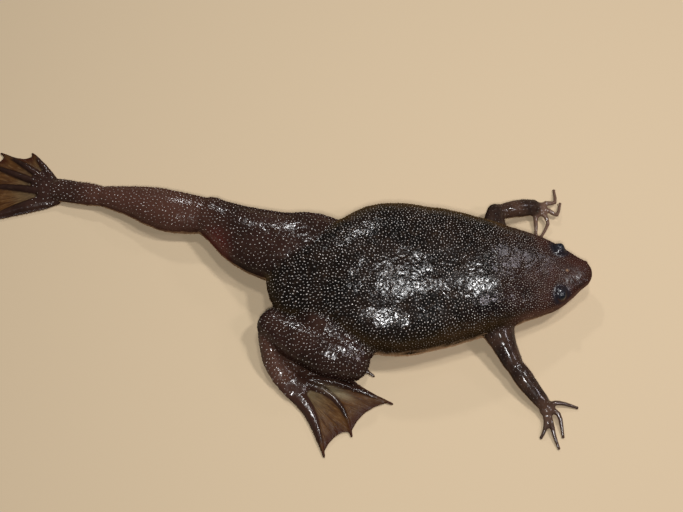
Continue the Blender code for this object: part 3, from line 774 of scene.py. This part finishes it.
class Value:
    """A number that varies over a surface. An expression on it adds its Math nodes."""

    def __init__(self, finish, socket):
        self.finish = finish
        self.socket = socket

    def combine(self, operation, *others):
        inputs = {0: self}
        inputs.update({k + 1: other for k, other in enumerate(others)})
        node = self.finish.node("ShaderNodeMath", {"operation": operation}, inputs)
        return Value(self.finish, node.outputs[0])

    def turned(self, operation, other):
        node = self.finish.node("ShaderNodeMath", {"operation": operation}, {0: other, 1: self})
        return Value(self.finish, node.outputs[0])

    def __add__(self, other):
        return self.combine("ADD", other)

    def __sub__(self, other):
        return self.combine("SUBTRACT", other)

    def __mul__(self, other):
        return self.combine("MULTIPLY", other)

    def __rsub__(self, other):
        return self.turned("SUBTRACT", other)

    __radd__ = __add__
    __rmul__ = __mul__

    def clear(self):
        """Held between 0 and 1."""
        node = self.finish.node("ShaderNodeClamp", {}, {0: self})
        return Value(self.finish, node.outputs[0])

    def between(self, low, high, to_low=0.0, to_high=1.0):
        """A smooth step from to_low at low to to_high at high."""
        settings = {"interpolation_type": "SMOOTHSTEP"}
        inputs = {"Value": self, "From Min": low, "From Max": high, "To Min": to_low, "To Max": to_high}
        return Value(self.finish, self.finish.node("ShaderNodeMapRange", settings, inputs).outputs[0])


class Finish:
    """One material, and the nodes that draw it."""

    def __init__(self, name, **fixed):
        self.material = bpy.data.materials.new(name)
        self.material.use_nodes = True
        self.tree = self.material.node_tree
        self.shader = self.tree.nodes["Principled BSDF"]
        for socket, value in fixed.items():
            self.shader.inputs[socket.replace("_", " ")].default_value = value

    def node(self, kind, settings, inputs):
        """A node of this kind with its settings, and values or links on its sockets."""
        made = self.tree.nodes.new(kind)
        for key, value in settings.items():
            setattr(made, key, value)
        for key, value in inputs.items():
            self.feed(made.inputs[key], value)
        return made

    def feed(self, socket, value):
        if isinstance(value, Value):
            value = value.socket
        if isinstance(value, bpy.types.NodeSocket):
            self.tree.links.new(value, socket)
        else:
            socket.default_value = value

    def mark(self, name):
        node = self.node("ShaderNodeAttribute", {"attribute_name": name}, {})
        return Value(self, node.outputs["Fac"])

    def here(self):
        return self.node("ShaderNodeTexCoord", {}, {}).outputs["Object"]

    def along_web(self):
        """Coordinates that run round the foot and out along it."""
        inputs = {0: self.mark("fan") * 15.0, 1: self.mark("reach") * 4.0}
        return self.node("ShaderNodeCombineXYZ", {}, inputs).outputs[0]

    def noise(self, scale, detail=3.0, roughness=0.5, distortion=0.0, where=None):
        inputs = {
            "Vector": where or self.here(),
            "Scale": scale,
            "Detail": detail,
            "Roughness": roughness,
            "Distortion": distortion,
        }
        return Value(self, self.node("ShaderNodeTexNoise", {}, inputs).outputs["Fac"])

    def cells(self, scale):
        """Soft round cells."""
        inputs = {"Vector": self.here(), "Scale": scale, "Smoothness": 1.0}
        node = self.node("ShaderNodeTexVoronoi", {"feature": "SMOOTH_F1"}, inputs)
        return Value(self, node.outputs["Distance"])

    def blend(self, share, first, second):
        """One colour passing into another."""
        inputs = {0: share, 6: colour(first), 7: colour(second)}
        return self.node("ShaderNodeMix", {"data_type": "RGBA"}, inputs).outputs[2]

    def bump(self, height, distance, strength):
        inputs = {"Height": height, "Distance": distance, "Strength": strength}
        return self.node("ShaderNodeBump", {}, inputs).outputs["Normal"]

    def shade(self, **varying):
        for socket, value in varying.items():
            self.feed(self.shader.inputs[socket.replace("_", " ")], value)
        return self.material

    def dull(self, share, shown, normal):
        """Takes this share of the wet gloss away."""
        dry = self.node("ShaderNodeBsdfDiffuse", {}, {"Color": shown, "Normal": normal})
        inputs = {0: share, 1: self.shader.outputs[0], 2: dry.outputs[0]}
        mixed = self.node("ShaderNodeMixShader", {}, inputs)
        self.tree.links.new(mixed.outputs[0], self.tree.nodes["Material Output"].inputs["Surface"])


def colour(value):
    return (*value, 1.0) if isinstance(value, tuple) and len(value) == 3 else value


def body_colour(finish, cloud):
    """A black back with brown flanks, a reddish head, brown legs and arms and paler fingers."""
    dark = finish.blend(cloud.between(0.35, 0.7), BACK_BLACK, BACK_BROWN)
    flank = (finish.mark("low") * (0.45 + cloud * 0.8)).clear()
    dark = finish.blend(flank, dark, FLANK_BROWN)
    head = finish.blend(cloud.between(0.3, 0.7), HEAD_BROWN, HEAD_RED)
    leg = finish.blend(cloud.between(0.3, 0.7), LEG_DARK, LEG_BROWN)
    arm = finish.blend(cloud.between(0.3, 0.7), ARM_DARK, ARM_BROWN)
    shown = finish.blend(finish.mark("head"), dark, head)
    shown = finish.blend(finish.mark("leg"), shown, leg)
    shown = finish.blend(finish.mark("arm"), shown, arm)
    shown = finish.blend(finish.mark("hand") * 0.8, shown, FINGER_BROWN)
    shown = finish.blend(finish.mark("tawny") * (0.7 + cloud * 0.3), shown, TAWNY)
    return finish.blend(finish.mark("ruddy") * 0.85, shown, RUDDY)


def web_colour(finish, cloud, fleck, wrinkles, reach):
    """Grey at the roots of the toes, then tan and brown in wrinkles, with a dark margin."""
    web = finish.blend((wrinkles + cloud * 0.4).between(0.5, 0.85), WEB_TAN, WEB_BROWN)
    web = finish.blend((reach + cloud * 0.3 + wrinkles * 0.2).between(0.35, 0.75), WEB_GREY, web)
    fine = finish.noise(3.0, 3.0, 0.6, 0.6, finish.along_web())
    web = finish.blend(fine.between(0.52, 0.68) * 0.35, web, WRINKLE_TAN)
    web = finish.blend(reach.between(0.4, 0.8) * 0.6, web, WEB_BROWN)
    return finish.blend((finish.mark("rim") + fleck * 0.2 - 0.1).clear() * 0.9, web, WEB_MARGIN)


def markings(finish):
    """The colour that skin and tubercles share."""
    cloud = finish.noise(CLOUD_SCALE, 3.0, 0.55)
    fleck = finish.noise(FLECK_SCALE, 2.0, 0.6)
    wrinkles = finish.noise(1.0, 4.0, 0.6, 0.8, finish.along_web())
    reach = finish.mark("reach")
    shown = body_colour(finish, cloud)
    shown = finish.blend(reach.between(0.55, 0.95) * 0.7, shown, TOE_TIP)
    web = web_colour(finish, cloud, fleck, wrinkles, reach)
    shown = finish.blend(finish.mark("web").between(0.1, 1.0), shown, web)
    # Painted light: the right web's pale root patch, brightened where the leg shades it
    shown = finish.blend(finish.mark("cream_and_painted_light") * (0.5 + wrinkles * 0.5), shown, WEB_CREAM_AND_PAINTED_LIGHT)
    shown = finish.blend((finish.mark("pale") * 1.1 - fleck * 0.2).clear(), shown, PALE_TAN)
    shown = finish.blend(finish.mark("lid"), shown, LID_BLACK)
    return finish.blend(fleck.between(0.5, 0.8, 0.0, 0.35), shown, FLECK)


def skin_finish():
    finish = Finish("wet_skin", **WET)
    grain = finish.noise(GRAIN_SCALE, 3.0, 0.6)
    film = finish.cells(FILM_SCALE)
    creases = finish.noise(CREASE_SCALE, 2.0, 0.4, 0.6)
    wrinkles = finish.noise(1.0, 3.0, 0.55, 0.8, finish.along_web())
    web, lid, head = (finish.mark(name) for name in ("web", "lid", "head"))
    smooth = 1 - (web + finish.mark("arm") * 0.8 + finish.mark("foot") * 0.5 + lid + head * 0.2).clear()
    height = (film * 0.3 + creases * 0.48) * smooth + grain * 0.06 + wrinkles * web * 0.9
    gloss = creases.between(0.35, 0.65, 0.12, 0.20)
    shown = markings(finish)
    normal = finish.bump(height, SKIN_RELIEF, 1.0)
    finish.dull(finish.mark("dry"), shown, normal)
    return finish.shade(
        Base_Color=shown,
        Roughness=gloss + web * 0.14 + head * 0.06,
        Normal=normal,
    )


def tubercle_finish():
    finish = Finish("wet_tubercles", **WET)
    grain = finish.noise(TIP_GRAIN_SCALE, 2.0, 0.6)
    tip = finish.mark("tip").between(0.45, 1.0)
    # The pale tip is partly the tubercle's own white and partly a painted glint
    pale = finish.blend((finish.mark("low") + finish.mark("head") * 0.35).clear(), TIP_PALE_AND_GLINT, TIP_TAN)
    shown = finish.blend(tip * finish.mark("light"), markings(finish), pale)
    normal = finish.bump(grain, TUBERCLE_RELIEF, 0.6)
    finish.dull(finish.mark("dry"), shown, normal)
    return finish.shade(
        Base_Color=shown,
        Roughness=grain.between(0.3, 0.7, 0.14, 0.26) + finish.mark("head") * 0.1,
        Normal=normal,
    )


def eye_finish(side):
    finish = Finish("eye_" + side, **EYE_WET)
    centre, way = eye_seat(side)
    here = finish.here()
    middle = tuple(spot(*centre))
    kind = "ShaderNodeVectorMath"
    offset = finish.node(kind, {"operation": "SUBTRACT"}, {0: here, 1: middle}).outputs[0]
    facing = finish.node(kind, {"operation": "NORMALIZE"}, {0: offset}).outputs[0]
    dot = finish.node(kind, {"operation": "DOT_PRODUCT"}, {0: facing, 1: tuple(way)})
    toward = Value(finish, dot.outputs["Value"])
    specks = finish.noise(IRIS_SCALE, 3.0, 0.6)
    iris = finish.blend(specks.between(0.4, 0.7), EYE_IRIS, EYE_SPECK)
    shown = finish.blend((toward + specks * 0.03).between(0.83, 0.88), iris, EYE_BLACK)
    return finish.shade(Base_Color=shown)


class Surface:
    """The skin's vertices in the animal's axes, and how far each belongs to the limbs."""

    def __init__(self, mesh):
        self.mesh = mesh
        self.points = places(mesh)
        self.normals = normals_of(mesh)
        self.x, self.y, self.z = self.points.T
        self.up = self.normals[:, 2]
        self.leg, self.arm = get_values(mesh, "leg"), get_values(mesh, "arm")
        self.hand, self.foot = get_values(mesh, "hand"), get_values(mesh, "foot")
        self.web = get_values(mesh, "web")
        self.limb = np.clip(self.leg + self.arm, 0, 1)
        self.trunk = 1 - self.limb
        self.head = ramp(self.x, *HEAD_RISE) * self.trunk
        self.chops = ramp(0.74 - self.up, 0.0, 0.45) * ramp(self.x, *CHOPS_RISE) * self.trunk

    def paint(self, mark, values):
        set_values(self.mesh, mark, values)

    def off(self, place):
        """How far each vertex lies from this place, on the floor plan where it has no height."""
        return np.linalg.norm(self.points[:, : len(place)] - np.array(place), axis=1)


def eyelids(toad):
    """The black skin round the eyes, and the pale line that edges it in front."""
    lid, line = np.zeros(len(toad.x)), np.zeros(len(toad.x))
    for side in SIDES:
        centre, way = eye_seat(side)
        offset = toad.points - centre
        reach = np.linalg.norm(offset, axis=1)
        past = np.degrees(np.arccos(np.clip(offset @ way / reach, -1, 1)) - EYE_OPENING)
        front = ramp(offset @ mirrored(EYE_FRONT, side) / reach, 0.3, 0.6)
        own = front * (past > 1) * (past < 8) * (reach < 2.0)
        line = np.maximum(line, own)
        lid = np.maximum(lid, ramp(EYE_RADIUS + LID + 1.6 - reach, 0.0, 1.7) * (1 - 0.8 * own))
    return lid * (1 - 0.75 * toad.chops), line


def pale_skin(toad, lid, line):
    """The tan of belly, cheeks and vent, and of the small pale marks."""
    x, z = toad.x, toad.z
    jaw = ramp(mouth_height(x) + 0.2 - z, 0.0, 0.2) * ramp(x, *JAW_RISE)
    cheek = 0.75 * ramp(CHEEK_TOP - z, 0.0, 0.7) * ramp(x, *CHEEK_RISE) * (1 - ramp(x, *JAW_RISE))
    flank = 0.6 * ramp(FLANK_TOP - z, 0.0, 1.3) * (1 - ramp(x, *CHEEK_RISE))
    vent = ramp(1.0 - x, 0.0, 2.0) * ramp(7.0 - z, 0.0, 3.0)
    crook = toad.leg * (toad.y < 0) * ramp(z, 3.0, 4.5)
    under = ramp(0.18 - toad.up, 0.0, 0.3) * (1 - crook) * (0.95 - 0.3 * toad.limb)
    speck = 0.4 * ramp(SNOUT_SPECK_RADIUS + 0.2 - toad.off(SNOUT_SPECK), 0.0, 0.4)
    toe = 0.15 * (z < 1.6) * ramp(HIDDEN_TOE_REACH - toad.off(HIDDEN_TOE), 0.0, 1.2)
    chops = 0.13 * toad.chops * (1 - lid)
    trunk = np.maximum.reduce([jaw, cheek, flank, vent]) * toad.trunk
    pale = np.maximum.reduce([trunk, under, speck, toe, 0.7 * line, chops])
    return np.clip(pale, 0, 1)


def web_cream_and_painted_light(toad):
    """The right web's pale root patch: its own colour, brightened as painted light where the leg shades
    it.
    """
    way = np.array(WEB_LIGHT_WAY)
    offset = toad.points[:, :2] - np.array(WEB_LIGHT)
    along = offset @ way
    aside = offset @ np.array((-way[1], way[0]))
    away = np.hypot(along / WEB_LIGHT_SIZE[0], aside / WEB_LIGHT_SIZE[1])
    return toad.foot * (toad.z < 2.6) * (0.5 + 0.5 * toad.web) * ramp(1.0 - away, 0.0, 0.9)


def paint_feet(toad):
    """How far out and round the foot each point lies, and the margin of its web."""
    reach, fan, rim = (np.zeros(len(toad.x)) for _ in range(3))
    for side, (root_x, root_y, long) in FOOT_ROOTS.items():
        out_x, out_y = toad.x - root_x, toad.y - root_y
        near = np.hypot(out_x, out_y)
        turn = np.arctan2(out_y, -SIDES[side] * out_x)
        around = near < long * FOOT_REACH
        reach = np.where(around, near / long, reach)
        fan = np.where(around, turn, fan)
        own = around & (toad.foot > 0.5)
        sector = np.round(np.degrees(turn) / SECTOR).astype(int) + 180 // SECTOR
        edge = np.zeros(360 // SECTOR + 1)
        np.maximum.at(edge, sector[own], near[own])
        rim = np.where(own, ramp(near - edge[sector] + WEB_MARGIN_WIDTH, 0.0, 1.8), rim)
    toad.paint("reach", np.clip(reach * toad.foot, 0, 1))
    toad.paint("fan", fan)
    toad.paint("rim", rim)


def web_between_toes(toad):
    """The web, less the thin skin at the foot's outer sides."""
    web = toad.web
    for side, (root_x, root_y, long) in FOOT_ROOTS.items():
        out_x, out_y = toad.x - root_x, toad.y - root_y
        turn = np.degrees(np.arctan2(out_y, out_x))
        outside = np.zeros(len(web), bool)
        for low, high in WEBLESS[side]:
            outside |= (turn > low) & (turn < high)
        outside &= np.hypot(out_x, out_y) < long * FOOT_REACH
        web = web * (1 - 0.85 * outside)
    return web


def paint_legs(toad):
    """The red of the knee's hollow and the shank, and the tawny ankle and chops."""
    away = np.linalg.norm((toad.points - np.array(KNEE_PIT)) / KNEE_PIT_SIZE, axis=1)
    shank = 0.3 * ramp(-toad.x, 8.0, 24.0) * ramp(50.0 + toad.x, 0.0, 10.0)
    toad.paint("ruddy", np.maximum(ramp(1.0 - away, 0.0, 0.6), 0.5 * shank) * toad.leg)
    stretched = toad.y > 5
    ankle = get_values(toad.mesh, "ankle") * np.where(stretched, 0.2, 0.85) * (1 - 0.6 * toad.foot)
    ankle *= 1 - 0.8 * ramp(get_values(toad.mesh, "reach"), 0.3, 0.55)
    tawny = np.maximum(ankle, 2.4 * shank * stretched) * toad.leg
    toad.paint("tawny", np.maximum(toad.chops, tawny))


def paint_low(toad, web, lid):
    """Where the sides turn down, the skin is browner and drier and the tips darker; darkest on the far
    side, as painted shade.
    """
    left = blurred(np.where(toad.y > 0, 1.0, 0.0), edges_of(toad.mesh), 10)
    low = ramp(9.0 - toad.z - 2.5 * ramp(toad.x, 54.0, 62.0), 0.0, 4.0)
    low = np.maximum(low, ramp(0.88 - toad.up, 0.0, 0.42)) * toad.trunk
    low += toad.limb * ramp(0.7 - toad.up, 0.0, 0.5)
    lower = ramp(6.5 - toad.z, 0.0, 4.5) * toad.trunk
    toad.paint("low", low * left + (0.35 * low + 0.6 * lower) * (1 - left))
    far = ramp(0.92 - toad.up, 0.0, 0.24) * ramp(toad.normals[:, 1], 0.08, 0.38)
    snout = ramp(toad.x, *SNOUT_RISE) * toad.trunk * (1 - lid)
    toad.paint("dry", np.clip(np.maximum(low, far) + 0.85 * web + 0.6 * snout, 0, 0.99))
    # Tip paleness: partly white keratin, partly painted glints; the far low side is darkened as painted
    # shade
    light = 0.95 - 0.25 * toad.head - 0.1 * toad.leg - 0.6 * toad.arm - (0.2 + 0.62 * left) * low
    toad.paint("light", np.clip(light, 0, 1))
    return low


def bare_skin(toad, web):
    """Where no tubercles stand: webs, digits, belly, lips, lids and nostrils."""
    left = toad.y > 10
    far_out = np.where(left, ramp(-toad.x, 53.0, 60.0), ramp(-toad.y, 22.0, 27.0))
    bare = (web > 0.25) | (toad.hand > 0.3) | (toad.up < -0.45) | (toad.z < 0.5)
    bare |= (toad.foot > 0.5) & (far_out > 0.5)
    at_mouth = np.abs(toad.z - mouth_height(toad.x)) < 0.55
    bare |= (toad.x > MOUTH_CORNER_X) & at_mouth & (toad.limb < 0.5)
    for side in SIDES:
        bare |= toad.off(eye_seat(side)[0]) < EYE_RADIUS + LID + 0.6
        bare |= toad.off(mirrored(NOSTRIL, side)) < 0.65
    return bare


def tubercle_spacing(toad, web, low):
    """How far apart the tubercles stand. Their size follows from it, as the mark bulk."""
    leg, arm, foot = toad.leg, toad.arm, toad.foot
    on_back = np.interp(toad.x, SPACING_X, SPACING)
    on_limb = toad.limb * (LEG_SPACING * leg + ARM_SPACING * arm) / np.maximum(leg + arm, 1e-6)
    spacing = on_back * toad.trunk + on_limb
    spacing += FOOT_SPACING * foot
    bulk = TUBERCLE_RADIUS * spacing * (1 - 0.5 * arm) * (1 - 0.3 * foot) * (1 - 0.22 * leg)
    bulk *= (1 - 0.25 * ramp(toad.x, 63.0, 68.0)) * (1 - 0.3 * low)
    toad.paint("bulk", bulk)
    return np.where(bare_skin(toad, web), BARE, spacing)


def paint_marks(skin):
    """Paints every mark on the skin. Returns how far apart the tubercles stand."""
    toad = Surface(skin.data)
    lid, line = eyelids(toad)
    web = web_between_toes(toad)
    toad.paint("head", toad.head)
    toad.paint("lid", 0.9 * lid)
    toad.paint("pale", pale_skin(toad, lid, line))
    toad.paint("cream_and_painted_light", web_cream_and_painted_light(toad))
    toad.paint("web", web)
    toad.paint("hand", toad.hand * np.where(toad.y > 0, 1.0, 0.3))
    paint_feet(toad)
    paint_legs(toad)
    low = paint_low(toad, web, lid)
    return tubercle_spacing(toad, web, low)


def softbox(name, way, size, power, tint):
    """A square studio light that faces the animal."""
    way = Vector(way).normalized()
    lamp = bpy.data.lights.new(name, "AREA")
    lamp.energy = power
    lamp.size = size * MM
    lamp.color = tint
    obj = bpy.data.objects.new(name, lamp)
    obj.location = spot(*LIGHT_MIDDLE) + way * LIGHT_DISTANCE * MM
    obj.rotation_euler = way.to_track_quat("Z", "Y").to_euler()
    bpy.context.scene.collection.objects.link(obj)


def studio():
    """The lights, the dim room round them and the pale floor."""
    world = bpy.data.worlds.new("studio")
    bpy.context.scene.world = world
    world.use_nodes = True
    world.node_tree.nodes["Background"].inputs["Color"].default_value = ROOM_COLOUR
    world.node_tree.nodes["Background"].inputs["Strength"].default_value = ROOM_LIGHT
    for name, settings in LIGHTS.items():
        softbox(name, *settings)
    bpy.context.scene.view_settings.view_transform = "Standard"
    bpy.ops.object.select_all(action="DESELECT")
    bpy.ops.mesh.primitive_plane_add(size=FLOOR_METRES, location=(0, 0, 0))
    floor = bpy.context.view_layer.objects.active
    floor.name = "floor"
    paper = Finish("pale_floor", Roughness=0.9, Base_Color=FLOOR_COLOUR)
    floor.data.materials.append(paper.material)


def camera():
    turn, rise = CAMERA_TURN, CAMERA_ELEVATION
    forward = Vector((math.sin(-turn) * math.cos(rise), math.cos(turn) * math.cos(rise), -math.sin(rise)))
    data = bpy.data.cameras.new("camera")
    data.lens = CAMERA_LENS
    data.sensor_width = CAMERA_SENSOR
    data.sensor_fit = "HORIZONTAL"
    data.clip_start = 0.01
    data.clip_end = 10.0
    obj = bpy.data.objects.new("camera", data)
    obj.location = spot(*(Vector(CAMERA_AIM) - forward * CAMERA_DISTANCE))
    obj.rotation_euler = forward.to_track_quat("-Z", "Y").to_euler()
    bpy.context.scene.collection.objects.link(obj)
    bpy.context.scene.camera = obj


def main():
    camera()
    skin = build_skin()
    spacing = paint_marks(skin)
    skin.data.materials.append(skin_finish())
    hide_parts(*FLESH)
    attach(skin, "root")
    unwrap = Unwrap(skin)
    finish = tubercle_finish()
    head = get_values(skin.data, "head")
    limb = np.clip(get_values(skin.data, "leg") + get_values(skin.data, "arm"), 0, 1)
    left = places(skin.data)[:, 1] > 0
    parts = {
        "tubercles_back_left": ((head <= 0.4) & (limb < 0.5) & left, 60000, "skin_back"),
        "tubercles_back_right": ((head <= 0.4) & (limb < 0.5) & ~left, 60000, "skin_back"),
        "tubercles_head": ((head > 0.4) & (limb < 0.5), 50000, "skin_head"),
        "tubercles_limbs_left": ((limb >= 0.5) & left, 60000, "skin_limb"),
        "tubercles_limbs_right": ((limb >= 0.5) & ~left, 50000, "skin_limb"),
    }
    for seed, (name, (part, tries, slot)) in enumerate(parts.items()):
        coat = build_tubercles(skin, name, part, spacing, FIRST_SEED + seed, tries, unwrap, finish)
        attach(coat, "root")
    for side in SIDES:
        eye = build_eye(side, eye_finish(side))
        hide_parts("eye_" + side)
        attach(eye, "root")
    studio()


main()
